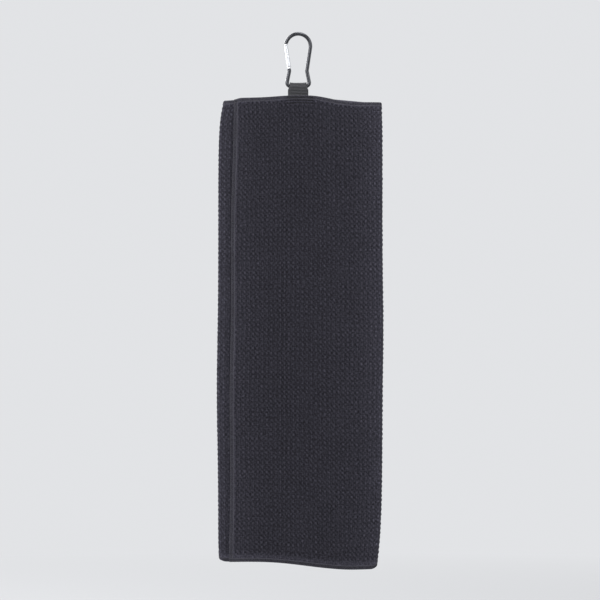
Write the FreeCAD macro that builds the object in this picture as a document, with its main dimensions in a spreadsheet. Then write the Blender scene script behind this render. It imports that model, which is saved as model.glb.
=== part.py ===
import FreeCAD, Part
import math
import os
import re

import Sketcher

# Tri-fold golf towel on a gourd-shaped spring-gate carabiner, in millimetres.
#
# +Z is up and the towel hangs in the XZ plane with its flap side facing -Y. The origin is the
# point inside the top of the carabiner's head where a bag ring bears, so the towel hangs below it.
# The cloth is one square sheet folded in three: the front layer runs into the right-hand fold, the
# back layer joins both folds, and the inner layer runs from the left-hand fold to its own free edge.
# A webbing strap goes round the carabiner's foot bar, and its two tails straddle the inner layer,
# where three rows of stitches hold the whole stack together.

UP = FreeCAD.Vector(0, 0, 1)
SIDEWAYS = FreeCAD.Vector(1, 0, 0)
BACK = FreeCAD.Vector(0, 1, 0)

DRIVING = [
    # Carabiner frame: a round rod bent to a wide head, a narrow neck and a straight foot bar.
    ("rod", 3.2, "rod diameter"),
    ("head_radius", 10.7, "radius of the head, to the rod's axis"),
    ("bar_drop", 44.0, "from the origin down to the foot bar's axis"),
    ("side_tilt", 8.5, "lean of the sides from vertical, in degrees"),
    ("neck_rise", 13.4, "height of the neck corner above the foot bar"),
    ("neck_radius", 5.0, "bend radius at the neck"),
    ("foot_half", 10.3, "half the foot's width, to the corner of the rod's axis"),
    ("foot_radius", 3.0, "bend radius at the foot's corners"),
    # Gate, its two rivets and the spring inside it.
    ("gate_dia", 3.6, "gate diameter"),
    ("pivot_rise", 17.0, "height of the gate's pivot above the foot bar"),
    ("tip_reach", 19.8, "from the pivot to the gate's rounded tip"),
    ("tip_gap", 0.7, "gap between the gate's tip and the frame"),
    ("tip_angle", 12.0, "where the gate's rod ends before its tip is rounded, in degrees"),
    ("tang", 1.2, "thickness of the frame's two flattened ends"),
    ("tang_slot", 1.4, "width of the gate's two slots"),
    ("nose_low", 7.0, "where the nose ends, in degrees below the head's centre"),
    ("nose_high", 16.0, "where the nose joins the rod, in degrees above the head's centre"),
    ("nose_width", 2.8, "width of the nose across the rod"),
    ("latch_angle", 1.5, "where the latch rivet sits, in degrees above the head's centre"),
    ("latch_dia", 1.0, "latch rivet diameter"),
    ("notch", 1.4, "width of the notch that the latch rivet drops into"),
    ("pivot_dia", 1.2, "pivot rivet diameter"),
    ("pivot_play", 0.03, "radial clearance of the frame's tang on the pivot rivet"),
    ("head_step", 0.25, "how far a rivet's head stands out beyond its shank"),
    ("head_seat", 1.5, "from the gate's axis to the seat of a rivet's head"),
    ("head_top", 1.9, "from the gate's axis to the top of a rivet's head"),
    ("shoulder", 2.3, "from the pivot down to where the rod is full again"),
    ("cam_radius", 1.3, "radius of the lower tang's rounded end"),
    ("cam_offset", 0.55, "how far the cam's centre lies inward of the pivot"),
    ("slot_depth", 1.95, "from the pivot up to the end of the lower slot"),
    ("latch_slot", 16.2, "from the pivot up to the start of the upper slot"),
    ("bore_dia", 1.9, "diameter of the bore that holds the spring"),
    ("bore_start", 1.1, "from the pivot up to the bore's mouth"),
    ("bore_end", 12.8, "from the pivot up to the bore's end"),
    ("plunger_dia", 1.7, "plunger diameter"),
    ("plunger_long", 1.6, "length of the plunger's wide part"),
    ("spigot_dia", 0.8, "diameter of the plunger's spigot"),
    ("spigot_long", 0.8, "length of the plunger's spigot"),
    ("cam_gap", 0.02, "clearance at the plunger's foot and at each end of the spring"),
    ("spring_wire", 0.3, "spring wire diameter"),
    ("spring_radius", 0.6, "spring radius, to the wire's axis"),
    ("spring_turns", 13, "turns in the spring"),
    # Webbing strap.
    ("web_thick", 1.0, "webbing thickness"),
    ("web_width", 17.7, "width of the webbing where it enters the towel"),
    ("web_neck", 14.5, "width of the webbing round the foot bar"),
    ("web_eye", 2.1, "inner radius of the webbing's turn round the foot bar"),
    ("web_bend", 3.0, "bend radius where the webbing's legs turn down into the towel"),
    ("bend_rise", 0.6, "height of that bend above the towel's top edge"),
    ("neck_drop", 0.5, "from the foot bar down to where the webbing starts to widen"),
    ("full_drop", 4.0, "from the foot bar down to where the webbing has its full width"),
    ("tail_long", 8.2, "how far the webbing's tails reach below the towel's top edge"),
    # Folded cloth.
    ("cloth", 1.4, "cloth thickness"),
    ("layer_pitch", 2.6, "distance between the middles of neighbouring layers"),
    ("left_edge", 69.5, "from the centre plane to the left-hand fold"),
    ("right_edge", 73.5, "from the centre plane to the right-hand fold"),
    ("flap_edge", 57.0, "from the centre plane to the flap's free edge"),
    ("flap_line", 12.0, "from the centre plane to the line where the flap turns back"),
    ("flap_gap", 0.3, "gap between the flap and the sewn part of the front layer"),
    ("inner_edge", 66.0, "from the centre plane to the inner layer's free edge"),
    ("top_drop", 53.0, "from the origin down to the towel's top edge"),
    ("cut_long", 406.4, "length of the towel"),
    # Overlocked edges: thread wrapped round the cloth's squeezed edge, flush with its faces.
    ("band", 3.5, "width of an overlocked edge"),
    ("thread", 0.2, "thickness of the wrapped thread"),
    ("thread_gap", 0.03, "gap between the wrapped thread and the cloth"),
    # Rows of stitches through every layer.
    ("row_left", 9.4, "from the centre plane to the left end of a row"),
    ("stitch", 2.35, "stitch length"),
    ("row_stitches", 9, "stitches in a row"),
    ("first_row", 1.5, "from the towel's top edge down to the first row"),
    ("row_pitch", 2.4, "distance between rows"),
    ("rows", 3, "rows of stitches"),
    ("sewing_dia", 0.5, "diameter of the sewing thread on the cloth's faces"),
    ("needle_thread", 0.4, "diameter of the sewing thread pulled tight through a needle hole"),
    ("needle_dia", 0.62, "diameter of a needle hole and width of a row's groove"),
    ("sink", 0.05, "how far the sewing thread lies below the cloth's face"),
]

WORKED_OUT = [
    ("bar_z", "-bar_drop", "height of the foot bar's axis"),
    ("head_z", "rod / 2 - head_radius", "height of the head's centre"),
    ("tangent_x", "head_radius * cos(side_tilt * 1deg)", "half width where head meets sides"),
    ("tangent_z", "head_z - head_radius * sin(side_tilt * 1deg)", "height of the same point"),
    ("pivot_z", "pivot_rise - bar_drop", "height of the gate's pivot"),
    ("pivot_x", "(tangent_z - pivot_z) * tan(side_tilt * 1deg) - tangent_x", "the pivot's X"),
    ("neck_z", "neck_rise - bar_drop", "height of the neck's corner"),
    ("neck_x", "tangent_x - (tangent_z - neck_z) * tan(side_tilt * 1deg)", "the neck's half width"),
    ("latch_x", "-head_radius * cos(latch_angle * 1deg)", "the latch rivet's X"),
    ("latch_z", "head_z + head_radius * sin(latch_angle * 1deg)", "the latch rivet's height"),
    ("plunger_foot", "cam_radius + cam_gap", "from the pivot up to the plunger's foot"),
    ("spigot_foot", "plunger_foot + plunger_long", "from the pivot up to the plunger's shoulder"),
    ("coil_low", "spigot_foot + cam_gap + spring_wire / 2", "wire's axis at the spring's foot"),
    ("coil_high", "bore_end - cam_gap - spring_wire / 2", "wire's axis at the spring's top"),
    ("leg_y", "layer_pitch / 2", "from the middle of the stack to the middle of a webbing leg"),
    ("top_z", "-top_drop", "height of the towel's top edge"),
    ("bottom_z", "-top_drop - cut_long", "height of the towel's bottom edge"),
    ("face_y", "layer_pitch + cloth / 2", "from the middle of the stack to its outer faces"),
    ("thin", "cloth - 2 * (thread + thread_gap)", "thickness of the squeezed edge"),
    ("inside", "cloth - 2 * thread", "room inside the wrapped thread"),
    ("trim", "thread + thread_gap", "how far the cloth stops short of an overlocked edge"),
    ("full_from", "band + thread_gap", "from an edge to where the cloth has its full thickness"),
    ("fold_left_x", "(layer_pitch + cloth) / 2 - left_edge", "axis of the left-hand fold"),
    ("fold_right_x", "right_edge - face_y", "axis of the right-hand fold"),
    ("sewn_from", "flap_gap / 2 - flap_line", "left edge of the sewn part of the front layer"),
    ("flap_to", "-flap_gap / 2 - flap_line", "right edge of the flap"),
    ("row_depth", "sink + (sewing_dia + needle_dia) / 2", "depth of a row's groove"),
    ("row_y", "face_y - sink - sewing_dia / 2", "from the middle of the stack to a row's thread"),
]
ALIASES = {row[0] for row in DRIVING + WORKED_OUT}

doc = FreeCAD.newDocument("golf_towel")


# ---------------------------------------------------------------- sheet and bindings


def make_sheet():
    """The spreadsheet: the driving dimensions, then the ones worked out from them."""
    sheet = doc.addObject("Spreadsheet::Sheet", "Dims")
    formulas = [(alias, f"={formula}", meaning) for alias, formula, meaning in WORKED_OUT]
    for row, (alias, value, meaning) in enumerate(DRIVING + formulas, start=1):
        sheet.set(f"A{row}", alias)
        sheet.set(f"B{row}", str(value))
        sheet.set(f"C{row}", meaning)
        sheet.setAlias(f"B{row}", alias)
    doc.recompute()
    return sheet


dims = make_sheet()


def size(alias):
    """The sheet's value for one dimension, as a number."""
    return float(dims.get(alias))


def in_sheet(expression):
    """The expression with the sheet's name put before each of its dimensions."""

    def name(word):
        return f"Dims.{word[0]}" if word[0] in ALIASES else word[0]

    return re.sub(r"[a-z_]+", name, expression)


def bind(target, **bindings):
    """Binds properties to the sheet; a double underscore in a name stands for a dot."""
    for name, expression in bindings.items():
        target.setExpression(name.replace("__", "."), in_sheet(expression))


def place(target, x, y, z):
    """Binds the base of a placement to three expressions."""
    bind(target, Placement__Base__x=x, Placement__Base__y=y, Placement__Base__z=z)
    return target


# ---------------------------------------------------------------- building blocks


def box(name, x, y, z):
    """A box between two expressions along each axis, each given as (low, high)."""
    made = doc.addObject("Part::Box", name)
    length, width, height = [f"({high}) - ({low})" for low, high in (x, y, z)]
    bind(made, Length=length, Width=width, Height=height)
    return place(made, x[0], y[0], z[0])


def rod_between(name, diameter, x, y, z):
    """A round rod along the one axis whose expressions are given as (low, high)."""
    turns = [FreeCAD.Rotation(BACK, 90), FreeCAD.Rotation(SIDEWAYS, -90), FreeCAD.Rotation()]
    made = doc.addObject("Part::Cylinder", name)
    along = next(number for number, value in enumerate((x, y, z)) if isinstance(value, tuple))
    low, high = (x, y, z)[along]
    made.Placement.Rotation = turns[along]
    bind(made, Radius=f"({diameter}) / 2", Height=f"({high}) - ({low})")
    base = [low if number == along else value for number, value in enumerate((x, y, z))]
    return place(made, *base)


def round_plate(name, radius, thickness, x, z, start=0.0, sweep=360.0):
    """A round plate, or a sector of one, in the XZ plane and centred on Y = 0."""
    made = doc.addObject("Part::Cylinder", name)
    made.Placement.Rotation = FreeCAD.Rotation(SIDEWAYS, 90) * FreeCAD.Rotation(UP, start)
    made.Angle = sweep
    bind(made, Radius=radius, Height=thickness)
    return place(made, x, f"({thickness}) / 2", z)


def half_tube(name, radius, thickness, x, y, z, side):
    """Half of an upright tube on one side (-1 left, 1 right), given its middle radius."""
    walls = []
    for wall, sign in (("outer", "+"), ("inner", "-")):
        half = doc.addObject("Part::Cylinder", f"{name}_{wall}")
        half.Placement.Rotation = FreeCAD.Rotation(UP, -90 * side)
        half.Angle = 180
        bind(half, Radius=f"{radius} {sign} {thickness} / 2", Height=f"({z[1]}) - ({z[0]})")
        walls.append(place(half, x, y, z[0]))
    return cut(name, *walls)


def fused(name, *shapes):
    made = doc.addObject("Part::MultiFuse", name)
    made.Shapes = list(shapes)
    made.Refine = True
    return made


def cut(name, base, tool):
    made = doc.addObject("Part::Cut", name)
    made.Base = base
    made.Tool = tool
    return made


def common(name, *shapes):
    made = doc.addObject("Part::MultiCommon", name)
    made.Shapes = list(shapes)
    return made


def rounded_path(points, radii):
    """Straight runs through the points, with a tangent arc of the given radius at each corner."""
    edges = []
    start = points[0]
    for before, corner, after, radius in zip(points, points[1:], points[2:], radii):
        back = (before - corner).normalize()
        ahead = (after - corner).normalize()
        half_turn = (math.pi - back.getAngle(ahead)) / 2
        reach = radius * math.tan(half_turn)
        rise = radius / math.cos(half_turn) - radius
        enter = corner + back * reach
        leave = corner + ahead * reach
        edges.append(Part.LineSegment(start, enter).toShape())
        edges.append(Part.Arc(enter, corner + (back + ahead).normalize() * rise, leave).toShape())
        start = leave
    edges.append(Part.LineSegment(start, points[-1]).toShape())
    return edges


def sweep_along(name, section, path, frenet=False):
    """A solid swept from a section along a path object."""
    made = doc.addObject("Part::Sweep", name)
    made.Sections = [section]
    made.Spine = (path, [f"Edge{number + 1}" for number in range(len(path.Shape.Edges))])
    made.Solid = True
    made.Frenet = frenet
    made.Transition = "Transformed"
    return made


def path_through(name, edges):
    made = doc.addObject("Part::Feature", name)
    made.Shape = Part.Wire(edges)
    return made


def round_section(name, diameter, centre, direction):
    """A circle of the given diameter about a point, facing along a direction."""
    made = doc.addObject("Part::Circle", name)
    bind(made, Radius=f"{diameter} / 2")
    made.Placement = FreeCAD.Placement(centre, FreeCAD.Rotation(UP, direction))
    return made


def outline(body, name, corners):
    """A closed outline on a body's XZ plane, each corner bound to an X and a Z expression."""
    sketch = body.newObject("Sketcher::SketchObject", name)
    plane = next(feature for feature in body.Origin.OriginFeatures if feature.Role == "XZ_Plane")
    sketch.AttachmentSupport = [(plane, "")]
    sketch.MapMode = "FlatFace"
    at = [[float(dims.evalExpression(in_sheet(value))) for value in corner] for corner in corners]
    for start, end in zip(at, at[1:] + at[:1]):
        line = Part.LineSegment(FreeCAD.Vector(*start, 0), FreeCAD.Vector(*end, 0))
        sketch.addGeometry(line)
    for line, corner in enumerate(corners):
        before = (line - 1) % len(at)
        sketch.addConstraint(Sketcher.Constraint("Coincident", before, 2, line, 1))
        for kind, value, expression in zip(("DistanceX", "DistanceY"), at[line], corner):
            pin_corner(sketch, kind, line, value, expression)
    return sketch


def pin_corner(sketch, kind, line, value, expression):
    """Holds the start of a line at a bound distance from the sketch's origin along one axis."""
    if abs(value) < 1e-9:
        sketch.addConstraint(Sketcher.Constraint("PointOnObject", line, 1, -2))
        return
    ends = (-1, 1, line, 1) if value > 0 else (line, 1, -1, 1)
    index = sketch.addConstraint(Sketcher.Constraint(kind, *ends, abs(value)))
    signed = expression if value > 0 else f"-({expression})"
    sketch.setExpression(f"Constraints[{index}]", in_sheet(signed))


# ---------------------------------------------------------------- carabiner


def on_head(angle):
    """A point of the rod's axis on the head's left-hand side, at an angle above its centre."""
    turn = math.radians(angle)
    radius = size("head_radius")
    return FreeCAD.Vector(-radius * math.cos(turn), 0, size("head_z") + radius * math.sin(turn))


def head_arc(first, last):
    """The part of the head's circle between two angles above its centre."""
    return Part.Arc(on_head(first), on_head((first + last) / 2), on_head(last)).toShape()


def gate_turn():
    """The turn that lays +Z along the gate, up from its pivot, and +X inward."""
    return FreeCAD.Rotation(BACK, -size("side_tilt"))


def up_gate(distance):
    """A point on the gate's axis at a distance above its pivot."""
    pivot = FreeCAD.Vector(size("pivot_x"), 0, size("pivot_z"))
    return pivot + gate_turn().multVec(UP) * distance


def at_pivot(made):
    """Moves an object modelled about the pivot, with +Z up the gate, into its place."""
    made.Placement.Rotation = gate_turn()
    return place(made, "pivot_x", "0", "pivot_z")


def latch_offset():
    """The way from the pivot to the latch rivet."""
    return FreeCAD.Vector(size("latch_x"), 0, size("latch_z")) - up_gate(0)


def frame_rod():
    """The bent rod: over the head, down the spine, along the foot and up to the gate's pivot."""
    foot, bar = size("foot_half"), size("bar_z")
    neck, neck_z = size("neck_x"), size("neck_z")
    first = size("latch_angle")
    corners = [
        FreeCAD.Vector(size("tangent_x"), 0, size("tangent_z")),
        FreeCAD.Vector(neck, 0, neck_z),
        FreeCAD.Vector(foot, 0, bar),
        FreeCAD.Vector(-foot, 0, bar),
        FreeCAD.Vector(-neck, 0, neck_z),
        up_gate(-size("shoulder")),
    ]
    radii = [size(bend) for bend in ("neck_radius", "foot_radius", "foot_radius", "neck_radius")]
    edges = [head_arc(first, 180 + size("side_tilt"))] + rounded_path(corners, radii)
    turn = math.radians(first)
    along = FreeCAD.Vector(math.sin(turn), 0, math.cos(turn))
    section = round_section("rod_section", "rod", on_head(first), along)
    return sweep_along("frame_rod", section, path_through("rod_path", edges))


def nose():
    """The flattened hook at the head's end that the latch rivet drops into."""
    start = 180 - size("nose_high")
    sweep = size("nose_low") + size("nose_high")
    outer = round_plate(
        "nose_outer", "head_radius + nose_width / 2", "tang", "0", "head_z", start, sweep
    )
    inner = round_plate("nose_inner", "head_radius - nose_width / 2", "2 * tang", "0", "head_z")
    return cut("nose", outer, inner)


def notch():
    """The nose's notch: a round seat for the latch rivet and a straight way in from inside."""
    seat = round_plate("notch_seat", "notch / 2", "rod", "0", "0")
    way = box("notch_way", ("0", "rod"), ("-rod / 2", "rod / 2"), ("-notch / 2", "notch / 2"))
    made = fused("notch_shape", seat, way)
    lean = math.atan2(latch_offset().x, latch_offset().z)
    made.Placement.Rotation = FreeCAD.Rotation(BACK, math.degrees(lean))
    return place(made, "latch_x", "0", "latch_z")


def hinge_tang():
    """The flattened lower end that the gate turns on, with the cam that lifts the plunger."""
    across = ("-cam_radius", "cam_radius")
    stem = box("tang_stem", across, ("-tang / 2", "tang / 2"), ("-2 * shoulder", "0"))
    end = round_plate("tang_end", "cam_radius", "tang", "0", "0")
    cam = round_plate("tang_cam", "cam_radius", "tang", "cam_offset", "0")
    return at_pivot(fused("hinge_tang", stem, end, cam))


def carabiner_frame():
    """The frame: the bent rod, stopped short of the gate, with its nose, notch and hinge tang."""
    tip_room = round_plate(
        "tip_room", "tip_reach + tip_gap", "2 * rod", "pivot_x", "pivot_z", start=90, sweep=30
    )
    rod = cut("rod_with_gap", frame_rod(), tip_room)
    blank = fused("frame_blank", rod, nose(), hinge_tang())
    hole_radius = "pivot_dia / 2 + pivot_play"
    pivot_hole = round_plate("pivot_hole", hole_radius, "2 * tang", "pivot_x", "pivot_z")
    return cut("carabiner_frame", blank, fused("frame_holes", notch(), pivot_hole))


def rivet(name, diameter, reach):
    """A rivet across the gate, about its own origin, whose heads run out to the given reach."""
    shank = rod_between(f"{name}_shank", diameter, "0", (f"-{reach}", reach), "0")
    wide = f"{diameter} + 2 * head_step"
    front = rod_between(f"{name}_front", wide, "0", (f"-{reach}", "-head_seat"), "0")
    back = rod_between(f"{name}_back", wide, "0", ("head_seat", reach), "0")
    return fused(name, shank, front, back)


def gate_pivot_rivet():
    """The rivet that the gate turns with, through the frame's lower tang."""
    return at_pivot(rivet("gate_pivot_rivet", "pivot_dia", "head_top"))


def gate_latch_rivet():
    """The rivet across the gate's upper slot that drops into the nose's notch."""
    return place(rivet("gate_latch_rivet", "latch_dia", "head_top"), "latch_x", "0", "latch_z")


def gate_blank():
    """The gate's outer shape: a rod with a curved top, a rounded tip and rounded ears."""
    low = up_gate(-size("gate_dia"))
    bend = FreeCAD.Vector(-size("tangent_x"), 0, size("tangent_z"))
    edges = [Part.LineSegment(low, bend).toShape()]
    edges.append(head_arc(-size("side_tilt"), size("tip_angle")))
    section = round_section("gate_section", "gate_dia", low, bend - low)
    rod = sweep_along("gate_rod", section, path_through("gate_path", edges))
    tip = round_plate("gate_tip", "tip_reach", "2 * gate_dia", "pivot_x", "pivot_z")
    ears = round_plate("gate_ears", "gate_dia / 2", "2 * gate_dia", "0", "0")
    wide = ("-tip_reach", "tip_reach")
    above = box("gate_above", wide, ("-gate_dia", "gate_dia"), ("0", "2 * tip_reach"))
    return common("gate_blank", rod, tip, at_pivot(fused("gate_envelope", ears, above)))


def gate_sleeve():
    """The gate: its two slots, the bore for the spring, and the holes and seats for the rivets."""
    wide = ("-gate_dia", "gate_dia")
    slot = ("-tang_slot / 2", "tang_slot / 2")
    lower = box("lower_slot", wide, slot, ("-gate_dia", "slot_depth"))
    upper = box("upper_slot", wide, slot, ("latch_slot", "2 * latch_slot"))
    bore = rod_between("spring_bore", "bore_dia", "0", "0", ("bore_start", "bore_end"))
    pivot_seat = rivet("pivot_seat", "pivot_dia", "gate_dia")
    holes = at_pivot(fused("gate_holes", lower, upper, bore, pivot_seat))
    latch_seat = place(rivet("latch_seat", "latch_dia", "gate_dia"), "latch_x", "0", "latch_z")
    return cut("gate_sleeve", gate_blank(), fused("gate_cutters", holes, latch_seat))


def gate_plunger():
    """The plunger that rides on the cam, with a spigot that holds the spring's foot."""
    body = doc.addObject("PartDesign::Body", "gate_plunger")
    spigot_top = "spigot_foot + spigot_long"
    corners = [
        ("0", "plunger_foot"),
        ("plunger_dia / 2", "plunger_foot"),
        ("plunger_dia / 2", "spigot_foot"),
        ("spigot_dia / 2", "spigot_foot"),
        ("spigot_dia / 2", spigot_top),
        ("0", spigot_top),
    ]
    turned = body.newObject("PartDesign::Revolution", "plunger_turned")
    turned.Profile = outline(body, "plunger_profile", corners)
    turned.ReferenceAxis = (turned.Profile[0], ["V_Axis"])
    turned.Angle = 360
    return at_pivot(body)


def gate_spring():
    """The coil spring between the plunger's shoulder and the end of the bore."""
    coil = doc.addObject("Part::Helix", "spring_coil")
    coil_long = "(coil_high - coil_low)"
    bind(coil, Height=coil_long, Pitch=f"{coil_long} / spring_turns", Radius="spring_radius")
    place(coil, "0", "0", "coil_low")
    doc.recompute()
    turn_long = 2 * math.pi * size("spring_radius")
    rise = (size("coil_high") - size("coil_low")) / size("spring_turns")
    start = FreeCAD.Vector(size("spring_radius"), 0, size("coil_low"))
    section = round_section(
        "wire_section", "spring_wire", start, FreeCAD.Vector(0, turn_long, rise)
    )
    return at_pivot(sweep_along("gate_spring", section, coil, frenet=True))


# ---------------------------------------------------------------- stitches and webbing


def stitch_rows(name, through, face_part):
    """Each row as one shape: its parts on the two faces, and rods of a diameter through the stack."""
    made = []
    for row in range(int(size("rows"))):
        z = f"(top_z - first_row - {row} * row_pitch)"
        parts = face_part(f"{name}{row + 1}", z)
        for hole in range(int(size("row_stitches")) + 1):
            label = f"{name}{row + 1}_needle{hole + 1}"
            x = f"{hole} * stitch - row_left"
            parts.append(rod_between(label, through, x, ("-row_y", "row_y"), z))
        made.append(fused(f"{name}{row + 1}", *parts))
    return made


def row_threads(name, z):
    """One row's threads along the front and back faces."""
    half = "sewing_dia / 2"
    along = (f"-row_left - {half}", f"row_stitches * stitch - row_left + {half}")
    front = rod_between(f"{name}_front", "sewing_dia", along, "-row_y", z)
    return [front, rod_between(f"{name}_back", "sewing_dia", along, "row_y", z)]


def row_grooves(name, z):
    """One row's grooves in the front and back faces."""
    half = "needle_dia / 2"
    along = (f"-row_left - {half}", f"row_stitches * stitch - row_left + {half}")
    across = (f"{z} - {half}", f"{z} + {half}")
    front = box(f"{name}_front", along, ("-face_y - cloth", "row_depth - face_y"), across)
    return [front, box(f"{name}_back", along, ("face_y - row_depth", "face_y + cloth"), across)]


def tack_stitches():
    """The rows of stitches, each row a solid of its own."""
    made = doc.addObject("Part::Compound", "tack_stitches")
    made.Links = stitch_rows("stitch_row", "needle_thread", row_threads)
    return made


def webbing_path():
    """Up one leg of the webbing, round the foot bar and down the other leg, in the YZ plane."""
    radius = size("web_eye") + size("web_thick") / 2
    leg, bar = size("leg_y"), size("bar_z")
    bend_z = size("top_z") + size("bend_rise")
    tail_z = size("top_z") - size("tail_long")
    away = math.hypot(leg, bend_z - bar)
    turn = math.atan2(bend_z - bar, leg) + math.acos(radius / away)
    touch_y = radius * math.cos(turn)
    touch_z = bar + radius * math.sin(turn)
    sides = []
    for side in (-1, 1):
        heights = ((side * leg, tail_z), (side * leg, bend_z), (side * touch_y, touch_z))
        sides.append([FreeCAD.Vector(0, y, z) for y, z in heights])
    bend = [size("web_bend")]
    crown = FreeCAD.Vector(0, 0, bar + radius)
    over = Part.Arc(sides[0][-1], crown, sides[1][-1]).toShape()
    return rounded_path(sides[0], bend) + [over] + rounded_path(sides[1][::-1], bend)


def webbing_outline():
    """The webbing's outline from the front, narrower round the foot bar."""
    body = doc.addObject("PartDesign::Body", "webbing_outline")
    right = [
        ("web_neck / 2", "bar_z + 2 * web_eye"),
        ("web_neck / 2", "bar_z - neck_drop"),
        ("web_width / 2", "bar_z - full_drop"),
        ("web_width / 2", "top_z - 2 * tail_long"),
    ]
    left = [(f"-{x}", z) for x, z in right[::-1]]
    pad = body.newObject("PartDesign::Pad", "webbing_outline_pad")
    pad.Profile = outline(body, "webbing_outline_sketch", right + left)
    pad.Midplane = True
    bind(pad, Length="4 * (web_eye + web_thick)")
    return body


def webbing_loop(needles):
    """The webbing strap round the foot bar, with its two tails pierced by the stitches."""
    section = doc.addObject("Part::Plane", "webbing_section")
    bind(section, Length="web_width", Width="web_thick")
    corner = ("-web_width / 2", "-leg_y - web_thick / 2", "top_z - tail_long")
    place(section, *corner)
    doc.recompute()
    path = path_through("webbing_path", webbing_path())
    strap = sweep_along("webbing_strap", section, path)
    return cut("webbing_loop", common("webbing_blank", strap, webbing_outline()), needles)


# ---------------------------------------------------------------- cloth


def folded(name, thickness, z, front_from="sewn_from", inner_to="inner_edge"):
    """The folded sheet, from the front layer's left edge round both folds to the inner layer."""
    half = f"({thickness}) / 2"
    front = box(
        f"{name}_front",
        (front_from, "fold_right_x"),
        (f"-layer_pitch - {half}", f"-layer_pitch + {half}"),
        z,
    )
    back = box(
        f"{name}_back",
        ("fold_left_x", "fold_right_x"),
        (f"layer_pitch - {half}", f"layer_pitch + {half}"),
        z,
    )
    inner = box(f"{name}_inner", ("fold_left_x", inner_to), (f"-{half}", half), z)
    right = half_tube(
        f"{name}_right", "layer_pitch", f"({thickness})", "fold_right_x", "0", z, side=1
    )
    left = half_tube(
        f"{name}_left", "layer_pitch / 2", f"({thickness})", "fold_left_x", "leg_y", z, side=-1
    )
    return fused(name, front, right, back, left, inner)


def towel_cloth(needles):
    """The sewn part of the cloth, squeezed thinner along every overlocked edge."""
    full_z = ("bottom_z + full_from", "top_z - full_from")
    thin_z = ("bottom_z + trim", "top_z - trim")
    full = folded("cloth_full", "cloth", full_z, inner_to="inner_edge - full_from")
    thin = folded("cloth_thin", "thin", thin_z, inner_to="inner_edge - trim")
    return cut("towel_cloth", fused("cloth_blank", full, thin), needles)


def front_flap():
    """The free part of the front layer, squeezed thinner along its three overlocked edges."""
    made = []
    for name, thickness, short in (("full", "cloth", "full_from"), ("thin", "thin", "trim")):
        across = (f"-layer_pitch - {thickness} / 2", f"-layer_pitch + {thickness} / 2")
        span = (f"{short} - flap_edge", "flap_to")
        made.append(box(f"flap_{name}", span, across, (f"bottom_z + {short}", f"top_z - {short}")))
    return fused("front_flap", *made)


def edge_wrap(name, z, room_z):
    """The thread wrapped round one cut edge of the folded sheet."""
    outer = folded(f"{name}_outer", "cloth", z)
    ends = {"front_from": "sewn_from - band", "inner_to": "inner_edge + band"}
    room = folded(f"{name}_room", "inside", room_z, **ends)
    return cut(name, outer, room)


def top_edge_overlock(needles):
    """The thread wrapped round the top edge, pierced by the stitches."""
    wrap = edge_wrap("top_wrap", ("top_z - band", "top_z"), ("top_z - 2 * band", "top_z - thread"))
    return cut("top_edge_overlock", wrap, needles)


def bottom_edge_overlock():
    """The thread wrapped round the bottom edge."""
    room = ("bottom_z + thread", "bottom_z + 2 * band")
    return edge_wrap("bottom_edge_overlock", ("bottom_z", "bottom_z + band"), room)


def inner_edge_overlock():
    """The thread wrapped round the inner layer's free edge, between the other two wraps."""
    z = ("bottom_z + full_from", "top_z - full_from")
    outer = box("inner_outer", ("inner_edge - band", "inner_edge"), ("-cloth / 2", "cloth / 2"), z)
    room_x = ("inner_edge - 2 * band", "inner_edge - thread")
    room = box("inner_room", room_x, ("-inside / 2", "inside / 2"), z)
    return cut("inner_edge_overlock", outer, room)


def flap_edge_overlock():
    """The thread wrapped round the flap's top, free and bottom edges, in one run."""
    x_to = "flap_to"
    layers = []
    for name, inset, thickness in (
        ("outer", "0", "cloth"),
        ("room", "thread", "inside"),
        ("window", "band", "2 * cloth"),
    ):
        span = (f"{inset} - flap_edge", x_to if name == "outer" else f"{x_to} + band")
        across = (f"-layer_pitch - {thickness} / 2", f"-layer_pitch + {thickness} / 2")
        z = (f"bottom_z + {inset}", f"top_z - {inset}")
        layers.append(box(f"flap_wrap_{name}", span, across, z))
    outer, room, window = layers
    return cut("flap_edge_overlock", outer, fused("flap_wrap_inside", room, window))


# ---------------------------------------------------------------- build, check and write


def check(parts):
    """Stops if any object failed to compute or any sub-part isn't a sound solid."""
    for item in doc.Objects:
        if "Invalid" in item.State or "Error" in item.State:
            raise RuntimeError(f"{item.Label} did not compute: {item.State}")
    for part in parts:
        if part.Shape.isNull() or not part.Shape.isValid() or not part.Shape.Solids:
            raise RuntimeError(f"{part.Label} has no sound solid")


needles_group = doc.addObject("Part::Compound", "needle_holes")
needles_group.Links = stitch_rows("needle_row", "needle_dia", row_grooves)

sub_parts = [
    carabiner_frame(),
    gate_sleeve(),
    gate_pivot_rivet(),
    gate_latch_rivet(),
    gate_plunger(),
    gate_spring(),
    webbing_loop(needles_group),
    tack_stitches(),
    towel_cloth(needles_group),
    front_flap(),
    top_edge_overlock(needles_group),
    bottom_edge_overlock(),
    inner_edge_overlock(),
    flap_edge_overlock(),
]
doc.recompute()
check(sub_parts)

os.makedirs("parts", exist_ok=True)
for part in sub_parts:
    part.Label = part.Name
    part.Shape.exportStep(f"parts/{part.Label}.step")
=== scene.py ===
import math

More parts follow.
